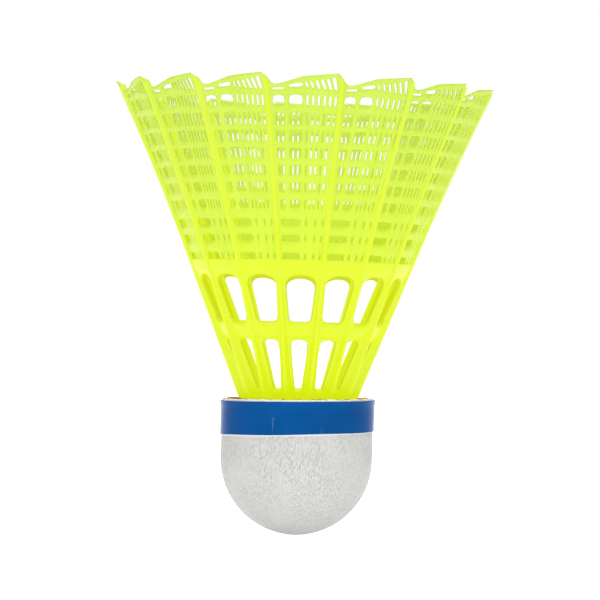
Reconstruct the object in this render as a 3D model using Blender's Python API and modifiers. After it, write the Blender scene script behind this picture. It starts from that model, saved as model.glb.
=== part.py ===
"""Synthetic badminton shuttlecock, in metres, +Z up, nose of the head at the origin.

It comes apart as it was put together: a one-shot nylon skirt whose hollow spigot is
glued into a laminated cork, a stretched skin over the cork, and a tape round its top.
"""

import math

import bmesh
import bpy
from mathutils import Matrix, Vector

MM = 0.001
OBJECT = "badminton_shuttlecock"

# Head, from the nose at z = 0
HEAD_RADIUS = 13.2 * MM
HEAD_TOP = 23.7 * MM
SKIN_THICKNESS = 0.6 * MM
FIT_GAP = 0.3 * MM
PLY_JOINT = 13.8 * MM
BORE_RADIUS = 7.2 * MM
BORE_BOTTOM = 11.2 * MM
SEAT_RADIUS = 11.35 * MM
HEAD_STEPS = 48
DOME_ARC_STEPS = 9

# Tape round the top of the head, in a shallow groove of the skin
TAPE_BOTTOM = 17.9 * MM
TAPE_TOP = 23.4 * MM
TAPE_OUTER_RADIUS = 13.5 * MM
TAPE_THICKNESS = 0.2 * MM
TAPE_GROOVE_DEPTH = 0.2 * MM

# Skirt: a cone of ribs, with two rows of windows below a zone of pleated vanes. Each
# window has a sill, a crown, its width at the sill and at the spring, and an arch height.
RIBS = 16
PITCH = 2.0 * math.pi / RIBS
ROOT_Z = HEAD_TOP
ROOT_RADIUS = 10.43 * MM
CONE_SLOPE = 0.396
FLOOR_TOP = 25.3 * MM
LOWER_WINDOW = (25.8 * MM, 34.0 * MM, 1.2 * MM, 2.9 * MM, 0.8 * MM)
HOOP = (34.4 * MM, 37.0 * MM)
UPPER_WINDOW = (37.1 * MM, 44.3 * MM, 3.4 * MM, 4.8 * MM, 1.1 * MM)
BAND = (45.4 * MM, 47.4 * MM)
SILL_CORNER_SHARE = 0.3
ARCH_STEPS = 3
CUTTER_MARGIN = 1.0 * MM

# Depths below the cone that the crests of the ribs lie on
FLANGE_DEPTH = 0.55 * MM
HOOP_DEPTH = 0.3 * MM
WALL_THICKNESS = 0.65 * MM
VANE_DEPTH = 0.45 * MM
VANE_THICKNESS = 0.4 * MM

# Half widths of a rib's foot, and how far the rib stands inwards of its wall
RIB_FOOT_ROOT = 0.85 * MM
RIB_FOOT_RIM = 0.6 * MM
RIB_KEEL_WINDOWS = 1.6 * MM
RIB_KEEL_BAND = 1.0 * MM
RIB_KEEL_VANES = 0.4 * MM

# Above the band the ribs flare out of the straight cone, and the vanes between them are
# pleated. The outlines give shares of a pitch from one rib to the next, with a height.
RIM_PEAK = 77.8 * MM
RIM_FLARE = 1.25 * MM
VANE_ROWS = 4
VANE_COLUMNS = (0.25, 0.45, 0.7)
PLEAT = [(0.0, 0.0), (0.05, 0.0), (0.45, -0.45 * MM), (0.95, 0.5 * MM), (1.0, 0.0)]
RIM_DIP = [
    (0.0, 1.3 * MM), (0.05, 2.1 * MM), (0.25, 1.6 * MM),
    (0.45, 0.5 * MM), (0.95, 0.0), (1.0, 1.3 * MM),
]

# Spigot below the skirt's floor
SPIGOT_RADIUS = 6.0 * MM
SPIGOT_BORE = 4.6 * MM
SPIGOT_END = 12.0 * MM
BARB_HEIGHT = 0.2 * MM
BARB_LENGTH = 1.0 * MM
BARBS = (15.5 * MM, 19.0 * MM)
GLUE_THICKNESS = 0.4 * MM
GLUE_SPAN = (14.8 * MM, 22.4 * MM)
PLY_GLUE_THICKNESS = 0.2 * MM


def material(name, colour, roughness):
    made = bpy.data.materials.new(name)
    made.use_nodes = True
    shader = made.node_tree.nodes["Principled BSDF"]
    shader.inputs["Base Color"].default_value = (*colour, 1.0)
    shader.inputs["Roughness"].default_value = roughness
    shader.inputs["Metallic"].default_value = 0.0
    return made


def new_object(name, mesh, collection, surface=None):
    thing = bpy.data.objects.new(name, mesh)
    collection.objects.link(thing)
    if surface:
        mesh.materials.append(surface)
        mesh.shade_smooth()
        mesh.set_sharp_from_angle(angle=math.radians(30))
    return thing


def turned(name, profile, closed, collection, surface):
    """A solid of revolution whose (radius, z) profile runs down its outer side."""
    mesh = bpy.data.meshes.new(name)
    count = len(profile)
    edges = [(i, i + 1) for i in range(count - 1)]
    if closed:
        edges.append((count - 1, 0))
    mesh.from_pydata([(r, 0.0, z) for r, z in profile], edges, [])
    thing = new_object(name, mesh, collection, surface)
    screw = thing.modifiers.new("turn", "SCREW")
    screw.steps = HEAD_STEPS
    screw.render_steps = HEAD_STEPS
    screw.use_merge_vertices = True
    screw.merge_threshold = 0.00001
    screw.use_smooth_shade = True
    return thing


def tube(name, inner, outer, bottom, top, collection, surface):
    profile = [(inner, top), (outer, top), (outer, bottom), (inner, bottom)]
    return turned(name, profile, True, collection, surface)


def dome(radius):
    """Points down a hemisphere that shares the head's centre, from its side to its pole."""
    for i in range(DOME_ARC_STEPS + 1):
        angle = 0.5 * math.pi * i / DOME_ARC_STEPS
        pole = i == DOME_ARC_STEPS
        yield (0.0 if pole else radius * math.cos(angle), HEAD_RADIUS - radius * math.sin(angle))


def head_skin(collection, surface):
    inner = HEAD_RADIUS - SKIN_THICKNESS
    groove = HEAD_RADIUS - TAPE_GROOVE_DEPTH
    profile = list(dome(inner))[::-1]
    profile += [(inner, HEAD_TOP), (HEAD_RADIUS, HEAD_TOP), (HEAD_RADIUS, TAPE_TOP)]
    profile += [(groove, TAPE_TOP), (groove, TAPE_BOTTOM), (HEAD_RADIUS, TAPE_BOTTOM)]
    profile += list(dome(HEAD_RADIUS))
    return turned("head_skin", profile, False, collection, surface)


def cork_dome(collection, surface):
    """The lower ply, with the blind end of the spigot's bore."""
    radius = HEAD_RADIUS - SKIN_THICKNESS - FIT_GAP
    top = PLY_JOINT - 0.5 * PLY_GLUE_THICKNESS - FIT_GAP
    profile = [(0.0, BORE_BOTTOM), (BORE_RADIUS, BORE_BOTTOM), (BORE_RADIUS, top), (radius, top)]
    profile += list(dome(radius))
    return turned("cork_dome", profile, False, collection, surface)


def cork_upper(collection, surface):
    """The upper ply, bored right through, with a shallow seat for the root of the skirt."""
    radius = HEAD_RADIUS - SKIN_THICKNESS - FIT_GAP
    bottom = PLY_JOINT + 0.5 * PLY_GLUE_THICKNESS + FIT_GAP
    seat = HEAD_TOP - FIT_GAP
    profile = [(BORE_RADIUS, seat), (SEAT_RADIUS, seat), (SEAT_RADIUS, HEAD_TOP)]
    profile += [(radius, HEAD_TOP), (radius, bottom), (BORE_RADIUS, bottom)]
    return turned("cork_upper", profile, True, collection, surface)


def ply_glue(collection, surface):
    """The glue film between the two plies of cork."""
    radius = HEAD_RADIUS - SKIN_THICKNESS - FIT_GAP
    bottom = PLY_JOINT - 0.5 * PLY_GLUE_THICKNESS
    top = PLY_JOINT + 0.5 * PLY_GLUE_THICKNESS
    return tube("ply_glue", BORE_RADIUS, radius, bottom, top, collection, surface)


def spigot_glue(collection, surface):
    """The sleeve of glue that holds the spigot in its bore."""
    outer = BORE_RADIUS - FIT_GAP
    inner = outer - GLUE_THICKNESS
    return tube("spigot_glue", inner, outer, *GLUE_SPAN, collection, surface)


def tape_band(collection, surface):
    inner = TAPE_OUTER_RADIUS - TAPE_THICKNESS
    bottom = TAPE_BOTTOM
    return tube("tape_band", inner, TAPE_OUTER_RADIUS, bottom, TAPE_TOP, collection, surface)


def vane_share(z):
    """0 at the top of the band, where the vanes start flat, to 1 at the rim."""
    return max(0.0, (z - BAND[1]) / (RIM_PEAK - BAND[1]))


def cone(z):
    """The radius of the ribs' crests at a height."""
    return ROOT_RADIUS + CONE_SLOPE * (z - ROOT_Z) + RIM_FLARE * vane_share(z) ** 2


def rib_foot(z):
    """Half the width of a rib's foot."""
    share = (z - ROOT_Z) / (RIM_PEAK - ROOT_Z)
    return RIB_FOOT_ROOT + (RIB_FOOT_RIM - RIB_FOOT_ROOT) * share


def between(points, at):
    """The value at a place on a line of straight runs, given as (place, value) pairs."""
    for (a, low), (b, high) in zip(points, points[1:]):
        if at <= b:
            return low + (high - low) * (at - a) / (b - a)
    return points[-1][1]


def section(radius, z, crest=0.0, pleats=0.0, dip=0.0):
    """One ring of the skirt. crest moves only the middle of each rib outwards."""
    foot = rib_foot(z) / (max(radius, ROOT_RADIUS) * PITCH)
    ring = []
    for rib in range(RIBS):
        for share in (0.0, foot, *VANE_COLUMNS, 1.0 - foot):
            angle = (rib + 0.5 + share) * PITCH
            r = radius + pleats * between(PLEAT, share)
            if share == 0.0:
                r = radius + crest
            height = z - dip * between(RIM_DIP, share)
            ring.append((r * math.sin(angle), -r * math.cos(angle), height))
    return ring


def skirt_sections():
    """The rings in order round the wall: up the outside, down the inside, and round the spigot."""
    outside = [
        (ROOT_Z, FLANGE_DEPTH),
        (HOOP[0], FLANGE_DEPTH),
        (HOOP[0], HOOP_DEPTH),
        (HOOP[1], HOOP_DEPTH),
        (HOOP[1], FLANGE_DEPTH),
        (BAND[0], FLANGE_DEPTH),
        (BAND[0], HOOP_DEPTH),
        (BAND[1], HOOP_DEPTH),
        (BAND[1], VANE_DEPTH),
    ]
    rings = [section(cone(z) - depth, z, crest=depth) for z, depth in outside]
    rows = [BAND[1] + (RIM_PEAK - BAND[1]) * row / VANE_ROWS for row in range(1, VANE_ROWS + 1)]
    inner_depth = VANE_DEPTH + VANE_THICKNESS
    inner_rings = []
    for z in rows:
        pleats = 1.0 - (1.0 - vane_share(z)) ** 3
        dip = max(0.0, 2.0 * vane_share(z) - 1.0)
        rings.append(section(cone(z) - VANE_DEPTH, z, VANE_DEPTH, pleats, dip))
        inner_rings.append(section(cone(z) - inner_depth, z, -RIB_KEEL_VANES, pleats, dip))
    rings += inner_rings[::-1]
    wall_depth = FLANGE_DEPTH + WALL_THICKNESS
    rings.append(section(cone(BAND[1]) - inner_depth, BAND[1], -RIB_KEEL_BAND))
    rings.append(section(cone(BAND[0]) - wall_depth, BAND[0], -RIB_KEEL_BAND))
    rings.append(section(cone(HOOP[1]) - wall_depth, HOOP[1], -RIB_KEEL_WINDOWS))
    rings.append(section(cone(FLOOR_TOP) - wall_depth, FLOOR_TOP, -RIB_KEEL_WINDOWS))
    rings.append(section(SPIGOT_BORE, FLOOR_TOP))
    rings.append(section(SPIGOT_BORE, SPIGOT_END))
    rings.append(section(SPIGOT_RADIUS, SPIGOT_END))
    for z in BARBS:
        rings.append(section(SPIGOT_RADIUS, z))
        rings.append(section(SPIGOT_RADIUS + BARB_HEIGHT, z + BARB_LENGTH))
        rings.append(section(SPIGOT_RADIUS, z + BARB_LENGTH))
    rings.append(section(SPIGOT_RADIUS, ROOT_Z))
    return rings


def loft(name, rings, collection, surface):
    """A closed wall through rings of equally many points, the last joined to the first."""
    shape = bmesh.new()
    rows = [[shape.verts.new(point) for point in ring] for ring in rings]
    for row, following in zip(rows, rows[1:] + rows[:1]):
        for i in range(len(row)):
            j = (i + 1) % len(row)
            shape.faces.new((row[i], row[j], following[j], following[i]))
    bmesh.ops.remove_doubles(shape, verts=shape.verts, dist=0.000001)
    bmesh.ops.recalc_face_normals(shape, faces=shape.faces)
    mesh = bpy.data.meshes.new(name)
    shape.to_mesh(mesh)
    shape.free()
    return new_object(name, mesh, collection, surface)


def window_outline(bottom, top, low_width, high_width, arch):
    """Half of a window, from the middle of its sill up its side to the middle of its arch."""
    side = 0.5 * low_width
    corner = SILL_CORNER_SHARE * low_width
    cut = 0.25 * corner
    points = [(0.0, bottom), (side - corner, bottom)]
    points += [(side - cut, bottom + cut), (side, bottom + corner)]
    for i in range(ARCH_STEPS + 1):
        angle = 0.5 * math.pi * i / ARCH_STEPS
        points.append((0.5 * high_width * math.cos(angle), top - arch + arch * math.sin(angle)))
    return points


def window_cutters(collection):
    """One prism through the wall for each window, all in one mesh."""
    shape = bmesh.new()
    for window in (LOWER_WINDOW, UPPER_WINDOW):
        half = window_outline(*window)
        outline = half + [(-x, z) for x, z in half[-2:0:-1]]
        near = cone(window[0]) - FLANGE_DEPTH - WALL_THICKNESS - CUTTER_MARGIN
        far = cone(window[1]) + CUTTER_MARGIN
        for rib in range(RIBS):
            turn = Matrix.Rotation(rib * PITCH, 4, "Z")
            ends = []
            for y in (near, far):
                ends.append([shape.verts.new(turn @ Vector((x, -y, z))) for x, z in outline])
            shape.faces.new(ends[0])
            shape.faces.new(ends[1])
            for i in range(len(outline)):
                j = (i + 1) % len(outline)
                shape.faces.new((ends[0][i], ends[0][j], ends[1][j], ends[1][i]))
    bmesh.ops.recalc_face_normals(shape, faces=shape.faces)
    mesh = bpy.data.meshes.new("window_cutters")
    shape.to_mesh(mesh)
    shape.free()
    cutters = new_object("window_cutters", mesh, collection)
    cutters.hide_render = True
    cutters.display_type = "WIRE"
    return cutters


def skirt(collection, cutter_collection, surface):
    body = loft("skirt", skirt_sections(), collection, surface)
    cut = body.modifiers.new("windows", "BOOLEAN")
    cut.operation = "DIFFERENCE"
    cut.solver = "EXACT"
    cut.object = window_cutters(cutter_collection)
    return body


def main():
    for old in list(bpy.data.objects):
        bpy.data.objects.remove(old)
    parts = bpy.data.collections.new(OBJECT)
    cutters = bpy.data.collections.new("cutters")
    for collection in (parts, cutters):
        bpy.context.scene.collection.children.link(collection)

    nylon = material("nylon", (0.72, 1.0, 0.02), 0.35)
    cork = material("cork", (0.42, 0.25, 0.12), 0.85)
    skin = material("skin", (0.70, 0.70, 0.67), 0.6)
    tape = material("tape", (0.0, 0.09, 0.36), 0.2)
    glue = material("glue", (0.75, 0.62, 0.35), 0.3)

    skirt(parts, cutters, nylon)
    cork_upper(parts, cork)
    cork_dome(parts, cork)
    head_skin(parts, skin)
    tape_band(parts, tape)
    spigot_glue(parts, glue)
    ply_glue(parts, glue)


main()
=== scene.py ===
"""Looks of the synthetic badminton shuttlecock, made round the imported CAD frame.

Lengths are in metres (MM turns millimetres into them) and +Z is up. The nose of the head
is at the origin and the side that the camera sees faces -Y.
"""

import math

import bmesh
import bpy
from mathutils import Matrix, Vector, noise


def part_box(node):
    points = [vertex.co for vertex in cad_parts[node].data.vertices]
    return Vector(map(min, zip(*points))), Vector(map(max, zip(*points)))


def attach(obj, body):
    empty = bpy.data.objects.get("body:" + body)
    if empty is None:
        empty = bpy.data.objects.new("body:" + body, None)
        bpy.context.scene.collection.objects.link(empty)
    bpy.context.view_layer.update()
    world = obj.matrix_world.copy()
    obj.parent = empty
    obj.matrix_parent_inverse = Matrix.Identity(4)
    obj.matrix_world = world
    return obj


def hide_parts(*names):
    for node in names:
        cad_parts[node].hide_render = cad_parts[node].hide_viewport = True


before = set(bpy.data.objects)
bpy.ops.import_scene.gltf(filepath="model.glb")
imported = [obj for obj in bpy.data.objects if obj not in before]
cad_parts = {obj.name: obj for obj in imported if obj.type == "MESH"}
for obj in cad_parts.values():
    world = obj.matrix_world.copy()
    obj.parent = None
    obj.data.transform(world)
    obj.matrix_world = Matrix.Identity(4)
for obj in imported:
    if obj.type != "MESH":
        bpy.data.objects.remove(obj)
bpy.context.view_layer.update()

MM = 0.001

# Driving sizes that the frame holds
HEAD_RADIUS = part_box("head_skin")[1][0]
HEAD_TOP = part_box("head_skin")[1][2]
TAPE_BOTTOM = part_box("tape_band")[0][2]
TAPE_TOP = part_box("tape_band")[1][2]
RIM_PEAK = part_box("skirt")[1][2]
SPIGOT_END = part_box("skirt")[0][2]
CORK_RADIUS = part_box("cork_upper")[1][0]
CORK_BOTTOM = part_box("cork_upper")[0][2]

# Skirt: a cone of ribs, its crests ROOT_RADIUS out at the top of the head
RIBS = 16
PITCH = 2.0 * math.pi / RIBS
ROOT_RADIUS = 10.43 * MM
CONE_SLOPE = 0.396

# Above the band the ribs bend outwards, and twist a little to one side
FLARE = 1.35 * MM
TWIST = math.radians(-0.55)

# Depths below the crests of the ribs
BAND_DEPTH = 0.28 * MM
VANE_DEPTH = 0.45 * MM
VANE_THICKNESS = 0.42 * MM
SHOULDER_DEPTH = 0.05 * MM
HOOP_STEP = 0.25 * MM

# Depths of the wall's two faces round the windows, by height: the ribs stand tallest at the root
WEB_DEPTH = [
    (HEAD_TOP, 1.75 * MM), (27.8 * MM, 1.60 * MM), (31.5 * MM, 1.35 * MM), (37.3 * MM, 0.90 * MM),
    (40.3 * MM, 0.68 * MM), (43.0 * MM, 0.52 * MM), (46.0 * MM, 0.50 * MM),
]
WALL_DEPTH = [
    (HEAD_TOP, 2.45 * MM), (27.8 * MM, 2.25 * MM), (31.5 * MM, 2.00 * MM), (40.3 * MM, 1.72 * MM),
    (43.0 * MM, 1.60 * MM), (46.0 * MM, 1.45 * MM),
]

# Each rib also stands inwards: how far down it reaches, by height
RIB_REACH = [
    (25.6 * MM, 3.40 * MM), (26.3 * MM, 3.90 * MM), (29.2 * MM, 3.80 * MM), (31.5 * MM, 3.50 * MM),
    (33.2 * MM, 3.20 * MM), (37.0 * MM, 2.95 * MM), (44.0 * MM, 2.35 * MM),
    (48.0 * MM, 1.90 * MM), (60.0 * MM, 1.40 * MM), (80.0 * MM, 1.25 * MM),
]

# Half widths of a rib at its foot, at the root and at the rim, and its shoulder's share of it
FOOT_ROOT = 0.52 * MM
FOOT_RIM = 0.36 * MM
SHOULDER_SHARE = 0.66

# Subdividing rounds a crest off by about this much, so the cage stands this much proud
CREST_LIFT = 0.1 * MM

# Windows: sill, spring of the arch, crown of the arch, width at the sill and at the spring
LOWER_WINDOW = (25.45 * MM, 33.0 * MM, 33.9 * MM, 1.10 * MM, 2.76 * MM)
UPPER_WINDOW = (37.05 * MM, 43.1 * MM, 44.85 * MM, 3.62 * MM, 4.98 * MM)
LOWER_KNEE = (31.0 * MM, 2.46 * MM)
LOWER_CORNER = 0.2 * MM
UPPER_CORNER = 0.8 * MM
HOOP = (34.35 * MM, 37.05 * MM)
BAND = (45.4 * MM, 47.4 * MM)
LOWER_ARCH_POWER = 2.3
UPPER_ARCH_POWER = 2.1

# Height of a hoop's step, and how far from it and from a window's ends the next line lies
STEP = 0.1 * MM
STEP_SUPPORT = 4.0 * STEP
SUPPORT = 0.8 * MM
ROOT_LINE = 0.5 * MM

# Mesh of the vanes: ten rows of holes, counted down from the rim, below a row of slanted slots.
# The lowest three rows are coarse, and the last slot of a row is open in the upper rows only.
MESH_ROWS = 10
FIRST_ROW_TOP = 74.35 * MM
ROW_PITCH = 2.84 * MM
FIRST_ROW_HEIGHT = 1.75 * MM
ROW_HEIGHT = 2.15 * MM
ROW_HEIGHT_LOSS = 0.12 * MM
COARSE_ROWS = 3
COARSE_TOPS = (48.45 * MM, 51.50 * MM, 54.10 * MM)
COARSE_HEIGHT = 1.05 * MM
FULL_ROWS_BELOW_RIM = 3
ROW_WAVE = 0.3 * MM
SLANTED_ROW = 75.0 * MM
RIM_LEAN = 1.35
RIM_FIRST_COLUMN = 0.085

# The wide holes of the mesh change their width from one height on, over a span
WIDEN_FROM = 56.0 * MM
WIDEN_SPAN = 18.0 * MM

# Pleat of one vane at the rim
PLEAT_IN = 0.45 * MM
PLEAT_OUT = 0.5 * MM
PLEAT_START = 0.03
PLEAT_KINK = 0.45
PLEAT_CREST = 0.935
PLEAT_POWER = 1.1
RIM_DROP = 1.9 * MM

# Floor inside the root, and the hollow spigot that it closes
ROOT_Z = HEAD_TOP - 0.25 * MM
FLOOR_TOP = 25.3 * MM
FLOOR_RING = 7.9 * MM
FOOT_RING = 8.1 * MM
SPIGOT_RADIUS = 6.0 * MM
SPIGOT_BORE = 4.6 * MM
BARBS = (15.5 * MM, 19.0 * MM)
BARB_HEIGHT = 0.2 * MM

# Columns of the skirt's grid in one panel, from the middle of one rib to the next
COLUMNS = 21
WINDOW_COLUMNS = 16
WINDOW_SIDES = (3, 3 + WINDOW_COLUMNS - 1)
WIDE_HOLES = (3, 5)
FIRST_SLOT = 7
COARSE_SLOTS = (0, 2, 4)
SLOTS = 6

# Material slots of the skirt
# The deep slot is the thick nylon made darker and yellower: painted shade on the lower skirt's
# inner faces and window walls
THICK, THIN, SHADED_DEEP = range(3)

# Blender's creases run from 0, smooth, to about 0.32, sharp at one level of subdivision
HOLE_CREASE = 0.316
WINDOW_CREASE = 0.22
STEP_CREASE = 0.22
CORNER_CREASE = 1.0
RING_COUNT = RIBS * COLUMNS // 3


# ---------------------------------------------------------------- small helpers

def blend(a, b, share):
    return a + (b - a) * share


def smooth(share):
    share = min(1.0, max(0.0, share))
    return share * share * (3.0 - 2.0 * share)


def between(points, at):
    """The value at a place on a line of straight runs, given as (place, value) pairs."""
    for (a, low), (b, high) in zip(points, points[1:]):
        if at <= b:
            return blend(low, high, max(0.0, (at - a) / (b - a)))
    return points[-1][1]


def spun(radius, angle, z):
    """A point at an angle that starts at -Y and grows towards +X."""
    return Vector((radius * math.sin(angle), -radius * math.cos(angle), z))


def finish_mesh(name, shape, materials):
    mesh = bpy.data.meshes.new(name)
    shape.to_mesh(mesh)
    shape.free()
    for surface in materials:
        mesh.materials.append(surface)
    thing = bpy.data.objects.new(name, mesh)
    bpy.context.scene.collection.objects.link(thing)
    return thing


# ---------------------------------------------------------------- node helpers

class Surface:
    """A Principled material and short ways to wire its nodes."""

    def __init__(self, name, roughness, specular):
        self.material = bpy.data.materials.new(name)
        self.material.use_nodes = True
        self.nodes = self.material.node_tree.nodes
        self.links = self.material.node_tree.links
        self.shader = self.nodes["Principled BSDF"]
        self.shader.inputs["Roughness"].default_value = roughness
        self.shader.inputs["Specular IOR Level"].default_value = specular
        self.place = self.nodes.new("ShaderNodeTexCoord").outputs["Object"]

    def link(self, source, target):
        self.links.new(source, target)

    def mapping(self, scale):
        node = self.nodes.new("ShaderNodeMapping")
        node.inputs["Scale"].default_value = scale
        self.link(self.place, node.inputs["Vector"])
        return node.outputs["Vector"]

    def noise(self, scale, detail=3.0, stretch=None, distortion=0.0):
        node = self.nodes.new("ShaderNodeTexNoise")
        node.inputs["Scale"].default_value = scale
        node.inputs["Detail"].default_value = detail
        node.inputs["Distortion"].default_value = distortion
        self.link(self.mapping(stretch) if stretch else self.place, node.inputs["Vector"])
        return node.outputs["Fac"]

    def height(self, low, high, slope=0.0):
        """0 below one height to 1 above another, heights that may climb towards +X."""
        along = self.nodes.new("ShaderNodeVectorMath")
        along.operation = "DOT_PRODUCT"
        along.inputs[1].default_value = (-slope, 0.0, 1.0)
        self.link(self.place, along.inputs[0])
        node = self.nodes.new("ShaderNodeMapRange")
        node.inputs["From Min"].default_value = low
        node.inputs["From Max"].default_value = high
        self.link(along.outputs["Value"], node.inputs["Value"])
        return node.outputs["Result"]

    def cells(self, scale, feature="F1"):
        node = self.nodes.new("ShaderNodeTexVoronoi")
        node.feature = feature
        node.inputs["Scale"].default_value = scale
        self.link(self.place, node.inputs["Vector"])
        return node.outputs

    def ramp(self, factor, stops):
        node = self.nodes.new("ShaderNodeValToRGB")
        elements = node.color_ramp.elements
        while len(elements) < len(stops):
            elements.new(0.5)
        for element, (place, colour) in zip(elements, stops):
            element.position = place
            element.color = (*colour, 1.0)
        self.link(factor, node.inputs["Fac"])
        return node.outputs["Color"]

    def grey_ramp(self, factor, stops):
        return self.ramp(factor, [(place, (grey, grey, grey)) for place, grey in stops])

    def mix(self, factor, a, b, mode="MIX"):
        node = self.nodes.new("ShaderNodeMix")
        node.data_type = "RGBA"
        node.blend_type = mode
        for socket, value in ((node.inputs[0], factor), (node.inputs[6], a), (node.inputs[7], b)):
            if isinstance(value, tuple):
                socket.default_value = (*value, 1.0)
            elif isinstance(value, (int, float)):
                socket.default_value = value
            else:
                self.link(value, socket)
        return node.outputs[2]

    def bump(self, height, distance, strength=1.0, under=None):
        node = self.nodes.new("ShaderNodeBump")
        node.inputs["Distance"].default_value = distance
        node.inputs["Strength"].default_value = strength
        self.link(height, node.inputs["Height"])
        if under:
            self.link(under, node.inputs["Normal"])
        return node.outputs["Normal"]

    def colour(self, source):
        self.link(source, self.shader.inputs["Base Color"])

    def roughness(self, source):
        self.link(source, self.shader.inputs["Roughness"])

    def normal(self, source):
        self.link(source, self.shader.inputs["Normal"])

    def translucent(self, colour, share):
        """Lets part of the light through from the far side, as thin nylon does."""
        glow = self.nodes.new("ShaderNodeBsdfTranslucent")
        self.link(colour, glow.inputs["Color"])
        mixer = self.nodes.new("ShaderNodeMixShader")
        mixer.inputs["Fac"].default_value = share
        self.link(self.shader.outputs["BSDF"], mixer.inputs[1])
        self.link(glow.outputs["BSDF"], mixer.inputs[2])
        self.link(mixer.outputs["Shader"], self.nodes["Material Output"].inputs["Surface"])


# ---------------------------------------------------------------- materials

def nylon(name, low, high, glow, through, roughness):
    """Fluorescent nylon with a painted glow, paler towards the rim: faint flow marks, fine ripples
    in the gloss.
    """
    surface = Surface(name, roughness, 0.3)
    # Painted glow: the emission makes the nylon give off light by itself, which lifts its shaded
    # parts
    surface.shader.inputs["Emission Color"].default_value = (*glow, 1.0)
    surface.shader.inputs["Emission Strength"].default_value = 1.0
    flow = surface.noise(260.0, 4.0, (1.0, 1.0, 0.35), 0.4)
    marks = surface.ramp(flow, [(0.3, (0.93, 0.96, 0.80)), (0.7, (1.0, 1.0, 1.0))])
    height = surface.height(BAND[0], RIM_PEAK)
    tint = surface.mix(1.0, surface.ramp(height, [(0.0, low), (1.0, high)]), marks, "MULTIPLY")
    surface.colour(tint)
    rough = surface.noise(900.0, 2.0)
    surface.roughness(surface.grey_ramp(rough, [(0.3, roughness - 0.06), (0.7, roughness + 0.08)]))
    ripple = surface.noise(700.0, 3.0)
    normal = surface.bump(ripple, 0.03 * MM, 0.5)
    surface.normal(normal)
    surface.translucent(tint, through)
    return surface.material


def skin_material():
    """White synthetic leather: fine grain, upright wrinkles, a few dark specks, and a painted
    highlight along the tape's lower edge.
    """
    surface = Surface("skin_leather", 0.62, 0.25)
    mottling = surface.noise(140.0, 3.0)
    base = surface.ramp(mottling, [(0.3, (0.400, 0.401, 0.395)), (0.7, (0.417, 0.418, 0.411))])
    grain = surface.noise(6200.0, 1.0, (1.0, 1.0, 0.6), 0.4)
    pebble = surface.grey_ramp(grain, [(0.34, 0.79), (0.5, 0.94), (0.64, 1.0)])
    grained = surface.mix(1.0, base, pebble, "MULTIPLY")
    wrinkle = surface.noise(5600.0, 1.0, (1.0, 1.0, 0.2), 0.6)
    where = surface.grey_ramp(surface.noise(120.0, 2.0), [(0.38, 0.15), (0.52, 1.0)])
    upright = surface.grey_ramp(wrinkle, [(0.36, 0.77), (0.56, 1.0)])
    creased = surface.mix(where, grained, surface.mix(1.0, grained, upright, "MULTIPLY"))
    speck = surface.grey_ramp(surface.cells(650.0)["Distance"], [(0.04, 0.45), (0.09, 1.0)])
    scatter = surface.grey_ramp(surface.noise(260.0, 1.0), [(0.66, 0.0), (0.69, 1.0)])
    specked = surface.mix(scatter, creased, surface.mix(1.0, creased, speck, "MULTIPLY"))
    # Painted highlight: plain lighter grey from just below the tape's lower edge upwards, which
    # shows as a thin bright strip under the tape
    low = TAPE_BOTTOM - 0.1 * MM
    painted_edge_highlight = surface.height(low - 0.32 * MM, low - 0.18 * MM, 0.55 * MM / HEAD_RADIUS)
    surface.colour(surface.mix(painted_edge_highlight, specked, (0.56, 0.56, 0.56)))
    first = surface.bump(grain, 0.05 * MM, 0.4)
    surface.normal(surface.bump(wrinkle, 0.05 * MM, 0.4, first))
    return surface.material


def tape_material():
    """Glossy blue tape, a little uneven, so that its highlights break up."""
    surface = Surface("blue_tape", 0.16, 0.032)
    shade = surface.noise(180.0, 3.0)
    surface.colour(surface.ramp(shade, [(0.3, (0.0, 0.041, 0.154)), (0.7, (0.0, 0.049, 0.186))]))
    scuffs = surface.noise(1500.0, 3.0)
    surface.roughness(surface.grey_ramp(scuffs, [(0.35, 0.03), (0.75, 0.12)]))
    waves = surface.noise(230.0, 2.0)
    surface.normal(surface.bump(waves, 0.12 * MM, 0.6))
    return surface.material


def cork_material(name):
    """Pressed cork: tan and brown granules with dark gaps."""
    surface = Surface(name, 0.85, 0.2)
    granule = surface.cells(750.0)
    tint = surface.ramp(
        granule["Color"],
        [(0.1, (0.16, 0.08, 0.03)), (0.45, (0.42, 0.24, 0.10)), (0.9, (0.66, 0.46, 0.25))],
    )
    gap = surface.cells(750.0, "DISTANCE_TO_EDGE")["Distance"]
    edges = surface.grey_ramp(gap, [(0.0, 0.35), (0.12, 1.0)])
    surface.colour(surface.mix(0.8, tint, edges, "MULTIPLY"))
    surface.normal(surface.bump(gap, 0.2 * MM, 0.8))
    return surface.material


def glue_material():
    """Amber glue, cloudy with small bubbles."""
    surface = Surface("amber_glue", 0.25, 0.5)
    cloud = surface.noise(500.0, 4.0)
    surface.colour(surface.ramp(cloud, [(0.3, (0.52, 0.34, 0.11)), (0.7, (0.80, 0.66, 0.36))]))
    bubbles = surface.cells(1800.0)["Distance"]
    surface.normal(surface.bump(bubbles, 0.05 * MM, 0.5))
    return surface.material


def backing_material():
    """The cream fabric backing that shows where the skin is cut."""
    surface = Surface("skin_backing", 0.9, 0.2)
    fibres = surface.noise(2200.0, 5.0)
    tint = [(0.35, (0.45, 0.33, 0.18)), (0.5, (0.72, 0.66, 0.52)), (0.8, (0.82, 0.79, 0.70))]
    surface.colour(surface.ramp(fibres, tint))
    surface.normal(surface.bump(fibres, 0.1 * MM, 0.7))
    return surface.material


# ---------------------------------------------------------------- skirt

def cone(z):
    """The radius of the ribs' crests at a height."""
    return ROOT_RADIUS + CONE_SLOPE * (z - HEAD_TOP) + FLARE * vane_share(z) ** 2


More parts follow.
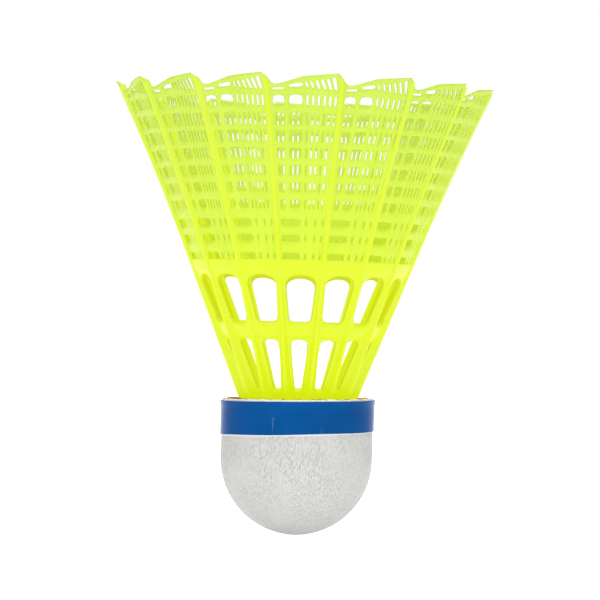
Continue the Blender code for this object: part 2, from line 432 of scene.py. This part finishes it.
def vane_share(z):
    """0 at the top of the band, where the vanes start flat, to 1 at the rim."""
    return max(0.0, (z - BAND[1]) / (RIM_PEAK - BAND[1]))


def pleat_growth(z):
    """The pleats deepen quickly above the band and then stay as deep."""
    return 1.0 - (1.0 - vane_share(z)) ** 3


def pleat(share):
    """How far a vane stands out of the cone, across its panel."""
    if share <= PLEAT_KINK:
        return -PLEAT_IN * smooth((share - PLEAT_START) / (PLEAT_KINK - PLEAT_START))
    if share <= PLEAT_CREST:
        rise = (share - PLEAT_KINK) / (PLEAT_CREST - PLEAT_KINK)
        return blend(-PLEAT_IN, PLEAT_OUT, rise ** PLEAT_POWER)
    return PLEAT_OUT * (1.0 - share) / (1.0 - PLEAT_CREST)


def rim_dip(share):
    """How far the rim is below its peak, across a panel."""
    points = [
        (0.0, 0.32), (0.035, 0.58), (0.085, 1.06), (0.2, 0.85), (0.29, 0.67), (0.36, 0.44),
        (0.42, 0.30), (0.5, 0.25), (PLEAT_CREST, 0.0), (0.97, 0.15), (1.0, 0.32),
    ]
    return RIM_DROP * between(points, share)


def row_wave(share):
    """The rows of the mesh bow down towards the ribs."""
    bow = [(0.0, -1.0), (0.15, -0.9), (0.4, 0.0), (0.55, -0.2), (0.95, -0.9), (1.0, -1.0)]
    return ROW_WAVE * between(bow, share)


def window_place(index):
    """From -1 to 1 across a window, closest together at its sides."""
    return -math.cos(math.pi * index / (WINDOW_COLUMNS - 1))


def foot_share(z):
    """Half a rib's foot at a height, as a share of the pitch."""
    half = blend(FOOT_ROOT, FOOT_RIM, (z - HEAD_TOP) / (RIM_PEAK - HEAD_TOP))
    return half / (cone(z) * PITCH)


def rib_shares(z, inside):
    """The columns of one panel at a height: half a rib, the inner columns, half a rib."""
    foot = foot_share(z)
    shoulder = SHOULDER_SHARE * foot
    return [0.0, shoulder, foot] + inside + [1.0 - foot, 1.0 - shoulder]


def window_width(z):
    """The width of the windows at a height, on one line through both rows."""
    points = [
        (0.0, LOWER_WINDOW[3]), (LOWER_WINDOW[0], LOWER_WINDOW[3]), LOWER_KNEE,
        (LOWER_WINDOW[1], LOWER_WINDOW[4]), (UPPER_WINDOW[0], UPPER_WINDOW[3]),
        (UPPER_WINDOW[1], UPPER_WINDOW[4]), (1.0, UPPER_WINDOW[4]),
    ]
    return between(points, z)


def window_columns(z):
    """Across a window; above the upper arches they spread to where the mesh needs them."""
    half = 0.5 * window_width(z) / ((cone(z) - between(WALL_DEPTH, z)) * PITCH)
    places = [0.5 + half * window_place(i) for i in range(WINDOW_COLUMNS)]
    share = smooth((z - UPPER_WINDOW[2]) / (BAND[1] - UPPER_WINDOW[2]))
    return [blend(a, b, share) for a, b in zip(places, coarse_columns(z))]


def slot_pairs(centres, widths):
    """The two sides of each slot."""
    pairs = []
    for centre, width in zip(centres, widths):
        pairs += [centre - 0.5 * width, centre + 0.5 * width]
    return pairs


def coarse_columns(z):
    """The three lowest rows, alike at every height: a wide hole and three slots."""
    centres = [0.575, 0.665, 0.755, 0.83, 0.90, 0.935]
    widths = [0.036, 0.03, 0.036, 0.03, 0.034, 0.012]
    return [0.075, 0.20, 0.30, 0.455] + slot_pairs(centres, widths)


def fine_columns(z):
    """Two wide holes that widen towards the rim, then six slots."""
    share = min(1.0, max(0.0, (z - WIDEN_FROM) / WIDEN_SPAN))
    wide = [blend(0.085, 0.060, share), blend(0.180, 0.228, share)]
    wide += [blend(0.262, 0.288, share), blend(0.450, 0.481, share)]
    last = min(0.931, 1.0 - foot_share(z) - 0.026)
    centres = [0.545, 0.624, 0.703, 0.783, 0.858, last]
    return wide + slot_pairs(centres, [0.030, 0.030, 0.030, 0.030, 0.030, 0.027])


def slanted_columns(lean):
    """The top row, whose slots lean: 0 at its lower edge and 1 at its upper edge."""
    low = [0.545, 0.624, 0.703, 0.783, 0.858, 0.927]
    high = [0.520, 0.586, 0.662, 0.733, 0.803, 0.880]
    centres = [blend(a, b, lean) for a, b in zip(low, high)]
    widths = [0.028, 0.030, 0.034, 0.036, 0.040, blend(0.034, 0.052, lean)]
    return [0.060, 0.228, 0.288, 0.481] + slot_pairs(centres, widths)


class Line:
    """One line of the grid round the skirt.

    depth and inner are the depths of the outer and the inner surface below the crests; a
    line with no inner depth has no inner surface. rise lifts each column above z.
    """

    def __init__(self, z, depth, columns, rise=None, inner=None):
        self.z = z
        self.depth = depth
        self.shares = rib_shares(z, columns)
        self.rise = rise or [0.0] * COLUMNS
        self.inner = inner
        self.crease = 0.0

    def point(self, panel, column, inside):
        share = self.shares[column]
        z = self.z + self.rise[column]
        depth = self.inner if inside else self.depth
        vane = self.depth == VANE_DEPTH
        rib = {0: 0.0, 1: SHOULDER_DEPTH, COLUMNS - 1: SHOULDER_DEPTH}.get(column)
        if rib is not None:
            depth = between(RIB_REACH, z) if inside else rib - CREST_LIFT
        radius = cone(z) - depth
        if vane and rib is None:
            radius += pleat(share) * pleat_growth(z)
        return spun(radius, (panel + 0.5 + share) * PITCH + TWIST * vane_share(z), z)


def window_rise(profile):
    """A rise that is zero outside the windows and follows a profile across them."""
    rise = [0.0] * COLUMNS
    for i in range(WINDOW_COLUMNS):
        rise[WINDOW_SIDES[0] + i] = profile(abs(window_place(i)))
    return rise


def sill_profile(half_width, corner):
    """A flat sill with rounded corners, by the place from 0 in its middle to 1 at its side."""
    share = corner / half_width

    def profile(at):
        over = max(0.0, (at - 1.0 + share) / share)
        return corner * (1.0 - math.sqrt(max(0.0, 1.0 - over * over)))

    return profile


def arch_profile(height, power):
    """An arch, squarer for a higher power, by the same place."""
    return lambda at: height * max(0.0, 1.0 - at ** power) ** (1.0 / power)


def wave_rise(z, columns):
    """The rise of a row of the mesh, which bows more towards the rim."""
    fade = vane_share(z) ** 1.5
    shares = rib_shares(z, columns)
    return [row_wave(share) * fade for share in shares]


def lower_lines():
    """From the root to the top of the band, with the two rows of windows."""
    lines = []

    def add(z, depth, rise=None, walled=False, crease=0.0):
        inner = between(WALL_DEPTH, z) if walled else None
        line = Line(z, depth, window_columns(z), rise, inner)
        line.crease = crease
        lines.append(line)

    def web(z):
        return between(WEB_DEPTH, z)

    def hoop(z):
        return web(z) - HOOP_STEP

    def sides(window, knee=()):
        for z in (window[0] + SUPPORT, *knee, window[1] - SUPPORT):
            add(z, web(z), None, True)

    def arch(window, power):
        rise = window_rise(arch_profile(window[2] - window[1], power))
        add(window[1], web(window[1]), rise, True)

    def sill(window, corner):
        return window_rise(sill_profile(0.5 * window[3], corner))

    add(ROOT_Z, web(ROOT_Z))
    add(HEAD_TOP + ROOT_LINE, web(HEAD_TOP))
    add(LOWER_WINDOW[0], web(LOWER_WINDOW[0]), sill(LOWER_WINDOW, LOWER_CORNER), True)
    sides(LOWER_WINDOW, LOWER_KNEE[:1])
    arch(LOWER_WINDOW, LOWER_ARCH_POWER)
    add(HOOP[0] - STEP, web(HOOP[0]), crease=STEP_CREASE)
    add(HOOP[0], hoop(HOOP[0]), crease=STEP_CREASE)
    add(HOOP[0] + STEP_SUPPORT, hoop(HOOP[0] + STEP_SUPPORT))
    upper_sill = sill(UPPER_WINDOW, UPPER_CORNER)
    add(HOOP[1], hoop(HOOP[1]), upper_sill, True, STEP_CREASE)
    add(HOOP[1] + STEP, web(HOOP[1]), upper_sill, True)
    sides(UPPER_WINDOW)
    arch(UPPER_WINDOW, UPPER_ARCH_POWER)
    add(BAND[0] - STEP, web(BAND[0]), None, True, STEP_CREASE)
    add(BAND[0], BAND_DEPTH, crease=STEP_CREASE)
    add(BAND[0] + STEP_SUPPORT, BAND_DEPTH)
    add(BAND[1] - STEP_SUPPORT, BAND_DEPTH)
    add(BAND[1] - STEP, BAND_DEPTH)
    return lines


def vane_lines():
    """The mesh, two lines to each row of holes, and the rim."""
    inner = VANE_DEPTH + VANE_THICKNESS
    lines = []
    for row in range(MESH_ROWS - 1, -1, -1):
        top = FIRST_ROW_TOP - row * ROW_PITCH
        height = ROW_HEIGHT - row * ROW_HEIGHT_LOSS
        if row == 0:
            height = FIRST_ROW_HEIGHT
        columns = fine_columns
        if row >= MESH_ROWS - COARSE_ROWS:
            columns = coarse_columns
            top = COARSE_TOPS[MESH_ROWS - 1 - row]
            height = COARSE_HEIGHT
        for z in (top - height, top):
            z = max(z, BAND[1])
            lines.append(Line(z, VANE_DEPTH, columns(z), wave_rise(z, columns(z)), inner))
    z = SLANTED_ROW
    bow = [
        (0.0, 0.0), (0.23, 0.05), (0.288, 0.45), (0.48, 0.6), (0.624, 0.3), (0.8, 0.1),
        (1.0, 0.0),
    ]
    low = slanted_columns(0.0)
    rise = [MM * between(bow, share) for share in rib_shares(z, low)]
    lines.append(Line(z, VANE_DEPTH, low, rise, inner))
    high = slanted_columns(1.0)
    tops = [
        (0.0, 0.0), (0.06, 0.28), (0.23, 0.45), (0.288, 0.85), (0.481, 1.35), (0.52, 1.35),
        (0.66, 1.6), (0.80, 1.9), (0.91, 2.25), (1.0, 0.9),
    ]
    rise = [MM * between(tops, share) for share in rib_shares(z, high)]
    lines.append(Line(z, VANE_DEPTH, high, rise, inner))
    rim = slanted_columns(RIM_LEAN)
    rim[0] = RIM_FIRST_COLUMN
    rim[-1] = PLEAT_CREST
    rise = [-rim_dip(share) for share in rib_shares(RIM_PEAK, rim)]
    lines.append(Line(RIM_PEAK, VANE_DEPTH, rim, rise, inner))
    return lines


def open_cells(lines, vane_start):
    """The (line, column) cells of the grid that are windows or holes of the mesh."""
    cells = set()
    for i in range(len(lines) - 1):
        low, high = lines[i], lines[i + 1]
        window = any(low.z >= w[0] and high.z <= w[1] for w in (LOWER_WINDOW, UPPER_WINDOW))
        if window:
            cells.update((i, column) for column in range(*WINDOW_SIDES))
    for row in range(MESH_ROWS + 1):
        i = vane_start + 2 * row
        if row < COARSE_ROWS:
            columns = list(range(WIDE_HOLES[0], WIDE_HOLES[1] + 1))
            slots = COARSE_SLOTS
        else:
            columns = list(WIDE_HOLES)
            slots = range(SLOTS if row >= MESH_ROWS - FULL_ROWS_BELOW_RIM else SLOTS - 1)
        columns += [FIRST_SLOT + 2 * slot for slot in slots]
        cells.update((i, column) for column in columns)
    return cells


def ring_row(shape, line, inside):
    """One line of the grid, all the way round."""
    row = []
    for panel in range(RIBS):
        for column in range(COLUMNS):
            row.append(shape.verts.new(line.point(panel, column, inside)))
    return row


def circle_row(shape, radius, z, count):
    """A plain ring of points, the first of them in line with the first rib."""
    turn = 2.0 * math.pi / count
    return [shape.verts.new(spun(radius, 0.5 * PITCH + i * turn, z)) for i in range(count)]


def band_faces(shape, low, high, skip=()):
    """Faces between two rings of equally many points, apart from the ones to skip."""
    made = []
    count = len(low)
    for i in range(count):
        if i in skip:
            continue
        j = (i + 1) % count
        made.append(shape.faces.new((low[i], low[j], high[j], high[i])))
    return made


def thin_out(shape, many, few):
    """Joins a ring to one with a third of its points."""
    count = len(few)
    for i in range(count):
        j = (i + 1) % count
        a, b, c, d = (many[(3 * i + k) % len(many)] for k in range(4))
        shape.faces.new((a, b, few[i]))
        shape.faces.new((b, c, few[j], few[i]))
        shape.faces.new((c, d, few[j]))


def wall_up(shape, lines, outer, inner, cells, crease, corner, vane_start):
    """Walls round the open cells, between the outer and the inner surface."""
    levels = [i for i, line in enumerate(lines) if line.inner]
    span = len(outer[0])
    for a, b in zip(levels, levels[1:]):
        for index in range(span):
            column = index % COLUMNS
            if (a, column) not in cells:
                continue
            after = (index + 1) % span
            sides = []
            if (a, column - 1) not in cells:
                sides.append(((a, index), (b, index)))
            if (a, column + 1) not in cells:
                sides.append(((b, after), (a, after)))
            if (a - 1, column) not in cells:
                sides.append(((a, after), (a, index)))
            if (b, column) not in cells:
                sides.append(((b, index), (b, after)))
            for start, end in sides:
                corners = (
                    outer[start[0]][start[1]], outer[end[0]][end[1]],
                    inner[end[0]][end[1]], inner[start[0]][start[1]],
                )
                face = shape.faces.new(corners)
                face.material_index = THIN if a >= vane_start else SHADED_DEEP
                if a >= vane_start and column in WIDE_HOLES:
                    for vert in corners:
                        vert[corner] = CORNER_CREASE
                for edge in face.edges:
                    through = sum(v in corners[:2] for v in edge.verts) == 1
                    if a >= vane_start:
                        edge[crease] = HOLE_CREASE
                    elif not through:
                        edge[crease] = WINDOW_CREASE


def skirt_root(shape, wall_inner, wall_outer):
    """The floor inside the root and the hollow spigot below it."""
    top = circle_row(shape, FLOOR_RING, FLOOR_TOP, RING_COUNT)
    thin_out(shape, wall_inner, top)
    profile = [
        (SPIGOT_BORE + 0.4 * MM, FLOOR_TOP), (SPIGOT_BORE, FLOOR_TOP - 0.4 * MM),
        (SPIGOT_BORE, SPIGOT_END + 0.3 * MM), (SPIGOT_BORE + 0.2 * MM, SPIGOT_END),
        (SPIGOT_RADIUS - 0.3 * MM, SPIGOT_END), (SPIGOT_RADIUS, SPIGOT_END + 0.4 * MM),
    ]
    barb = SPIGOT_RADIUS + BARB_HEIGHT
    for z in BARBS:
        profile += [(SPIGOT_RADIUS, z), (barb, z + MM), (SPIGOT_RADIUS, z + MM)]
    profile.append((SPIGOT_RADIUS, ROOT_Z))
    rows = [top] + [circle_row(shape, r, z, RING_COUNT) for r, z in profile]
    rows.append(circle_row(shape, FOOT_RING, ROOT_Z, RING_COUNT))
    for low, high in zip(rows, rows[1:]):
        band_faces(shape, low, high)
    thin_out(shape, wall_outer, rows[-1])


def make_skirt(thick, thin, shaded_deep):
    """One closed moulding: ribs, hoops, windows, mesh, rim, floor and spigot."""
    shape = bmesh.new()
    crease = shape.edges.layers.float.new("crease_edge")
    corner = shape.verts.layers.float.new("crease_vert")
    lines = lower_lines()
    vane_start = len(lines)
    lines += vane_lines()
    cells = open_cells(lines, vane_start)
    outer = [ring_row(shape, line, False) for line in lines]
    inner = [ring_row(shape, line, True) if line.inner else None for line in lines]
    span = RIBS * COLUMNS

    def skips(level):
        return {i for i in range(span) if (level, i % COLUMNS) in cells}

    def is_rib(index):
        return index % COLUMNS in (0, 1, COLUMNS - 2, COLUMNS - 1)

    for level in range(len(lines) - 1):
        skip = skips(level)
        shown = [i for i in range(span) if i not in skip]
        faces = band_faces(shape, outer[level], outer[level + 1], skip)
        for i, face in zip(shown, faces):
            face.material_index = THIN if level >= vane_start and not is_rib(i) else THICK
    levels = [i for i, line in enumerate(lines) if line.inner]
    for a, b in zip(levels, levels[1:]):
        skip = skips(a)
        shown = [i for i in range(span) if i not in skip]
        faces = band_faces(shape, inner[b], inner[a], skip)
        for i, face in zip(shown, faces):
            inside = THIN if a >= vane_start else SHADED_DEEP
            face.material_index = THICK if is_rib(i) else inside
    wall_up(shape, lines, outer, inner, cells, crease, corner, vane_start)
    outer_rim = set(outer[-1])
    for face in band_faces(shape, outer[-1], inner[-1]):
        face.material_index = THIN
        for edge in face.edges:
            if sum(v in outer_rim for v in edge.verts) != 1:
                edge[crease] = HOLE_CREASE
    for row in (outer[-1], inner[-1]):
        for i in range(span):
            if i % COLUMNS in WINDOW_SIDES:
                row[i][corner] = CORNER_CREASE
    for line, row in zip(lines, outer):
        if line.crease:
            for a, b in zip(row, row[1:] + row[:1]):
                shape.edges.get((a, b))[crease] = line.crease
    foot_radius = cone(FLOOR_TOP) - between(WALL_DEPTH, FLOOR_TOP)
    foot = []
    for i in range(span):
        angle = (i // COLUMNS + 0.5 + lines[0].shares[i % COLUMNS]) * PITCH
        foot.append(shape.verts.new(spun(foot_radius, angle, FLOOR_TOP)))
    band_faces(shape, inner[levels[0]], foot)
    skirt_root(shape, foot, outer[0])
    bmesh.ops.recalc_face_normals(shape, faces=shape.faces)
    thing = finish_mesh("skirt_moulding", shape, [thick, thin, shaded_deep])
    thing.data.shade_smooth()
    rounding = thing.modifiers.new("rounding", "SUBSURF")
    rounding.levels = 1
    rounding.render_levels = 1
    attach(thing, "root")
    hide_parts("skirt")


# ---------------------------------------------------------------- head

HEAD_SEGMENTS = 160
SLANT = 0.28 * MM

# Skin: its thickness, its steps, the unevenness of its cut edge and of its sides
SKIN_THICKNESS = 0.6 * MM
SKIN_DOME_STEPS = 40
SKIN_INNER_STEPS = 8
SKIN_SIDE_STEP = 0.45 * MM
SKIN_EDGE_ROUGHNESS = 0.10 * MM
SKIN_SWELL = 0.05 * MM
SKIN_SWELL_FADE = 6.0 * MM

# Tape: the lap at the back, and a lip that stands out at its upper edge
TAPE_THICKNESS = 0.13 * MM
TAPE_LAP = math.radians(24)
TAPE_LAP_RAMP = math.radians(5)
TAPE_SEGMENTS = 176
TAPE_ROWS = 12
TAPE_SLANTS = (0.55 * MM, 0.34 * MM)
TAPE_DROP = 0.1 * MM
TAPE_WAVE = 0.03 * MM
TAPE_STAND_OFF = 0.08 * MM
TAPE_LIP = 0.16 * MM
TAPE_LIP_START = 0.72
TAPE_LIP_SPAN = 0.28

# Top of the cork: the seat of the skirt's root, and how high its granules stand
SEAT_RADIUS = 11.35 * MM
SEAT_DEPTH = 0.3 * MM
BORE_RADIUS = 7.2 * MM
GRANULE_RINGS = (11.5, 11.75, 12.0, 12.2)
GRANULE_LIFT = 0.16 * MM
LUMP_LIFT = 0.14 * MM
BUMP_LIFT = 0.35 * MM
BUMP_ANGLE = math.radians(74)
BUMP_WIDTH = 0.05
CORK_SEGMENTS = 288


def slant(angle, amount):
    """The hand-trimmed edges of the head rise a little towards +X."""
    return amount * math.sin(angle)


def lathe(name, profile, place, materials, slots, segments=HEAD_SEGMENTS, closed=False):
    """Rings through a (radius, z) profile, each point moved by place(radius, z, angle)."""
    shape = bmesh.new()
    rows = []
    for radius, z in profile:
        if radius == 0.0:
            rows.append([shape.verts.new((0.0, 0.0, z))])
            continue
        row = []
        for i in range(segments):
            angle = 2.0 * math.pi * i / segments
            r, height = place(radius, z, angle)
            row.append(shape.verts.new(spun(r, angle, height)))
        rows.append(row)
    pairs = list(zip(rows, rows[1:]))
    if closed:
        pairs.append((rows[-1], rows[0]))
    for number, (low, high) in enumerate(pairs):
        for i in range(segments):
            j = (i + 1) % segments
            ring = [low[i % len(low)], low[j % len(low)], high[j % len(high)], high[i % len(high)]]
            ring = list(dict.fromkeys(ring))
            shape.faces.new(ring).material_index = slots(number)
    bmesh.ops.recalc_face_normals(shape, faces=shape.faces)
    return finish_mesh(name, shape, materials)


def surface_noise(angle, z, scale, seed):
    """Smooth noise on the head's surface, from -1 to 1."""
    at = spun(HEAD_RADIUS, angle, z)
    return noise.noise((at + Vector((seed, 0.0, 0.0))) * scale)


def make_skin(leather, backing):
    """The stretched cap: nose, sides, the groove that the tape has pressed, a cut top edge."""
    centre = HEAD_RADIUS
    inner = HEAD_RADIUS - SKIN_THICKNESS
    profile = []
    for i in range(SKIN_DOME_STEPS + 1):
        angle = 0.5 * math.pi * i / SKIN_DOME_STEPS
        radius = 0.0 if i == 0 else HEAD_RADIUS * math.sin(angle)
        profile.append((radius, centre - HEAD_RADIUS * math.cos(angle)))
    z = centre
    while z < TAPE_BOTTOM - 0.5 * MM:
        z += SKIN_SIDE_STEP
        profile.append((HEAD_RADIUS, z))
    profile.append((HEAD_RADIUS, TAPE_BOTTOM - 0.15 * MM))
    profile.append((HEAD_RADIUS - 0.08 * MM, TAPE_BOTTOM + 0.2 * MM))
    profile.append((HEAD_RADIUS - 0.1 * MM, TAPE_TOP - 0.6 * MM))
    outer_count = len(profile) + 1
    profile.append((HEAD_RADIUS - 0.02 * MM, HEAD_TOP - 0.12 * MM))
    profile.append((HEAD_RADIUS - 0.12 * MM, HEAD_TOP))
    profile.append((inner + 0.1 * MM, HEAD_TOP))
    profile.append((inner, HEAD_TOP - 0.12 * MM))
    for share in (0.9, 0.55):
        profile.append((inner, blend(centre, HEAD_TOP, share)))
    for i in range(SKIN_INNER_STEPS + 1):
        angle = 0.5 * math.pi * i / SKIN_INNER_STEPS
        radius = 0.0 if i == SKIN_INNER_STEPS else inner * math.cos(angle)
        profile.append((radius, centre - inner * math.sin(angle)))

    def place(radius, z, angle):
        share = smooth((z - TAPE_BOTTOM) / (HEAD_TOP - TAPE_BOTTOM))
        lift = slant(angle, SLANT) * share
        edge = smooth((z - TAPE_TOP) / (HEAD_TOP - TAPE_TOP))
        lift += edge * SKIN_EDGE_ROUGHNESS * surface_noise(angle, HEAD_TOP, 900.0, 3.0)
        side = smooth(z / SKIN_SWELL_FADE) * (1.0 - share)
        swell = SKIN_SWELL * surface_noise(angle, z, 150.0, 7.0) * side
        return radius + swell, z + lift

    def slots(number):
        return 1 if number >= outer_count - 1 else 0

    thing = lathe("leather_skin", profile, place, [leather, backing], slots)
    thing.data.shade_smooth()
    thing.data.set_sharp_from_angle(angle=math.radians(50))
    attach(thing, "root")
    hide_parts("head_skin")


def make_tape(surface):
    """A strip wound once round the head, its end lapped over its start at the back."""
    segments = TAPE_SEGMENTS
    rows = TAPE_ROWS
    span = 2.0 * math.pi + TAPE_LAP
    shape = bmesh.new()
    grid = {}
    for side in (0, 1):
        for i in range(segments + 1):
            angle = math.pi - 0.5 * TAPE_LAP + span * i / segments
            over = smooth((i / segments * span - 2.0 * math.pi) / TAPE_LAP_RAMP + 1.0)
            for j in range(rows + 1):
                share = j / rows
                low = TAPE_BOTTOM + slant(angle, TAPE_SLANTS[0])
                low += TAPE_WAVE * math.sin(5.0 * angle)
                low -= TAPE_DROP
                high = TAPE_TOP + slant(angle, TAPE_SLANTS[1])
                z = blend(low, high, share)
                lip = TAPE_LIP * smooth((share - TAPE_LIP_START) / TAPE_LIP_SPAN) ** 2
                wave = TAPE_WAVE * surface_noise(angle, z, 260.0, 11.0)
                lapped = over * (TAPE_THICKNESS + TAPE_WAVE)
                radius = HEAD_RADIUS + TAPE_STAND_OFF + wave + lip + lapped
                radius += side * TAPE_THICKNESS
                grid[side, i, j] = shape.verts.new(spun(radius, angle, z))
    for side in (0, 1):
        for i in range(segments):
            for j in range(rows):
                corners = [grid[side, i + a, j + b] for a, b in ((0, 0), (1, 0), (1, 1), (0, 1))]
                shape.faces.new(corners)
    border = [(i, 0) for i in range(segments)] + [(segments, j) for j in range(rows)]
    border += [(i, rows) for i in range(segments, 0, -1)] + [(0, j) for j in range(rows, 0, -1)]
    for a, b in zip(border, border[1:] + border[:1]):
        shape.faces.new((grid[0, *a], grid[0, *b], grid[1, *b], grid[1, *a]))
    bmesh.ops.recalc_face_normals(shape, faces=shape.faces)
    thing = finish_mesh("tape_strip", shape, [surface])
    thing.data.shade_smooth()
    thing.data.set_sharp_from_angle(angle=math.radians(40))
    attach(thing, "root")
    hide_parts("tape_band")


def make_cork_top(surface):
    """The upper ply of the cork, with granules standing proud round the skirt's root."""
    low_seat = HEAD_TOP - SEAT_DEPTH
    profile = [
        (BORE_RADIUS, low_seat), (SEAT_RADIUS - 0.05 * MM, low_seat),
        (SEAT_RADIUS, HEAD_TOP - 0.05 * MM),
    ]
    for radius in GRANULE_RINGS:
        profile.append((radius * MM, HEAD_TOP))
    profile += [
        (CORK_RADIUS, HEAD_TOP - 0.1 * MM), (CORK_RADIUS, CORK_BOTTOM),
        (BORE_RADIUS, CORK_BOTTOM),
    ]

    def place(radius, z, angle):
        if z < HEAD_TOP - 0.06 * MM or radius > CORK_RADIUS - 0.01 * MM:
            return radius, z
        at = spun(radius, angle, 0.0) * 1400.0
        grains = noise.cell(at) - 0.5
        lumps = noise.noise(spun(radius, angle, 0.0) * 420.0)
        bump = BUMP_LIFT * math.exp(-((angle - BUMP_ANGLE) / BUMP_WIDTH) ** 2)
        lift = slant(angle, SLANT) + GRANULE_LIFT * grains + LUMP_LIFT * lumps + bump
        return radius, z + lift

    thing = lathe(
        "cork_granules", profile, place, [surface], lambda number: 0, CORK_SEGMENTS, True
    )
    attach(thing, "root")
    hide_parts("cork_upper")


# ---------------------------------------------------------------- stage

FLOOR_GLOW = 0.72
FLOOR_RADIUS = 6.0
FLOOR_DROP = 0.0001

# The world is white, and darker to the two sides: where that starts and ends, and how dark
FLAG_START = 0.5
FLAG_END = 0.95
FLAG_STRENGTH = 0.35

# Each light's azimuth, elevation, distance, width, height and power
LIGHTS = {
    "key_left": (math.radians(-37), math.radians(14), 0.8, 0.02, 0.6, 1.5),
    "key_right": (math.radians(37), math.radians(14), 0.8, 0.02, 0.6, 1.5),
    "front": (0.0, math.radians(24), 1.0, 0.5, 0.4, 1.4),
    "top": (0.0, math.radians(88), 0.45, 0.3, 0.3, 1.7),
}

CAMERA_DISTANCE = 540.0 * MM
CAMERA_HEIGHT = 34.75 * MM
CAMERA_LENS = 186.0
CAMERA_SENSOR = 36.0
CAMERA_TILT = math.radians(0.647)
CAMERA_ROLL = math.radians(1.5)
CAMERA_ASIDE = -0.08 * MM


def make_stage():
    """A wide white floor, level with the nose, that runs out to the horizon."""
    surface = Surface("white_floor", 0.9, 0.1)
    tone = surface.noise(2.0, 2.0)
    surface.colour(surface.grey_ramp(tone, [(0.3, 0.93), (0.7, 0.95)]))
    surface.shader.inputs["Emission Color"].default_value = (1.0, 1.0, 1.0, 1.0)
    surface.shader.inputs["Emission Strength"].default_value = FLOOR_GLOW
    shape = bmesh.new()
    bmesh.ops.create_circle(shape, cap_ends=True, segments=96, radius=FLOOR_RADIUS)
    bmesh.ops.translate(shape, verts=shape.verts, vec=(0.0, 0.0, -FLOOR_DROP))
    finish_mesh("floor", shape, [surface.material])


def area_light(name, azimuth, elevation, distance, width, height, power):
    """A softbox aimed at the object: azimuth 0 is behind the camera, growing to the right."""
    light = bpy.data.lights.new(name, "AREA")
    light.shape = "RECTANGLE"
    light.size = width
    light.size_y = height
    light.energy = power
    thing = bpy.data.objects.new(name, light)
    bpy.context.scene.collection.objects.link(thing)
    flat = distance * math.cos(elevation)
    middle = Vector((0.0, 0.0, 0.5 * RIM_PEAK))
    at = spun(flat, azimuth, distance * math.sin(elevation)) + middle
    aim = (middle - at).to_track_quat("-Z", "Y")
    thing.matrix_world = Matrix.Translation(at) @ aim.to_matrix().to_4x4()


def make_world():
    world = bpy.data.worlds.new("studio")
    bpy.context.scene.world = world
    world.use_nodes = True
    nodes = world.node_tree.nodes
    links = world.node_tree.links
    nodes["Background"].inputs["Color"].default_value = (1.0, 1.0, 1.0, 1.0)
    split = nodes.new("ShaderNodeSeparateXYZ")
    links.new(nodes.new("ShaderNodeTexCoord").outputs["Generated"], split.inputs[0])
    aside = nodes.new("ShaderNodeMath")
    aside.operation = "ABSOLUTE"
    links.new(split.outputs["X"], aside.inputs[0])
    flags = nodes.new("ShaderNodeMapRange")
    flags.inputs["From Min"].default_value = FLAG_START
    flags.inputs["From Max"].default_value = FLAG_END
    flags.inputs["To Min"].default_value = 1.0
    flags.inputs["To Max"].default_value = FLAG_STRENGTH
    links.new(aside.outputs["Value"], flags.inputs["Value"])
    links.new(flags.outputs["Result"], nodes["Background"].inputs["Strength"])


def make_lights():
    for name, settings in LIGHTS.items():
        area_light(name, *settings)
    bpy.context.scene.view_settings.view_transform = "Standard"


def make_camera():
    camera = bpy.data.cameras.new("camera")
    camera.sensor_width = CAMERA_SENSOR
    camera.lens = CAMERA_LENS
    camera.clip_start = 0.01
    camera.clip_end = 50.0
    thing = bpy.data.objects.new("camera", camera)
    bpy.context.scene.collection.objects.link(thing)
    level = Matrix.Rotation(0.5 * math.pi + CAMERA_TILT, 4, "X")
    roll = Matrix.Rotation(CAMERA_ROLL, 4, "Z")
    place = Matrix.Translation((CAMERA_ASIDE, -CAMERA_DISTANCE, CAMERA_HEIGHT))
    thing.matrix_world = place @ level @ roll
    bpy.context.scene.camera = thing


# ---------------------------------------------------------------- assembly

def dress(node, surface):
    """Gives a CAD node that stays its own material."""
    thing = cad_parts[node]
    if not thing.material_slots:
        thing.data.materials.append(surface)
    for place in thing.material_slots:
        place.material = surface


# Painted glow: light that the nylon gives off by itself on top of what it reflects. Its
# fluorescent pigment gives some such light, but these are set higher, to lift the shaded insides
# and the root.
THICK_PAINTED_GLOW = (0.75, 0.91, 0.005)
THIN_PAINTED_GLOW = (0.40, 0.46, 0.020)
SHADED_DEEP_PAINTED_GLOW = (0.66, 0.76, 0.002)


def main():
    make_camera()
    thick = nylon("nylon_thick_painted_glow", (0.18, 0.20, 0.006), (0.13, 0.18, 0.028), THICK_PAINTED_GLOW, 0.30, 0.30)
    thin = nylon("nylon_thin_painted_glow", (0.38, 0.48, 0.018), (0.31, 0.42, 0.074), THIN_PAINTED_GLOW, 0.42, 0.36)
    # The deep nylon is the thick nylon made darker: painted shade for the lower skirt's insides
    # and window walls
    shaded_deep = nylon("nylon_deep_painted_shade_and_glow", (0.16, 0.17, 0.003), (0.13, 0.17, 0.020), SHADED_DEEP_PAINTED_GLOW, 0.30, 0.30)
    make_skirt(thick, thin, shaded_deep)
    make_skin(skin_material(), backing_material())
    make_tape(tape_material())
    make_cork_top(cork_material("cork_top"))
    dress("cork_dome", cork_material("cork_nose"))
    glue = glue_material()
    dress("spigot_glue", glue)
    dress("ply_glue", glue)
    make_stage()
    make_world()
    make_lights()


main()
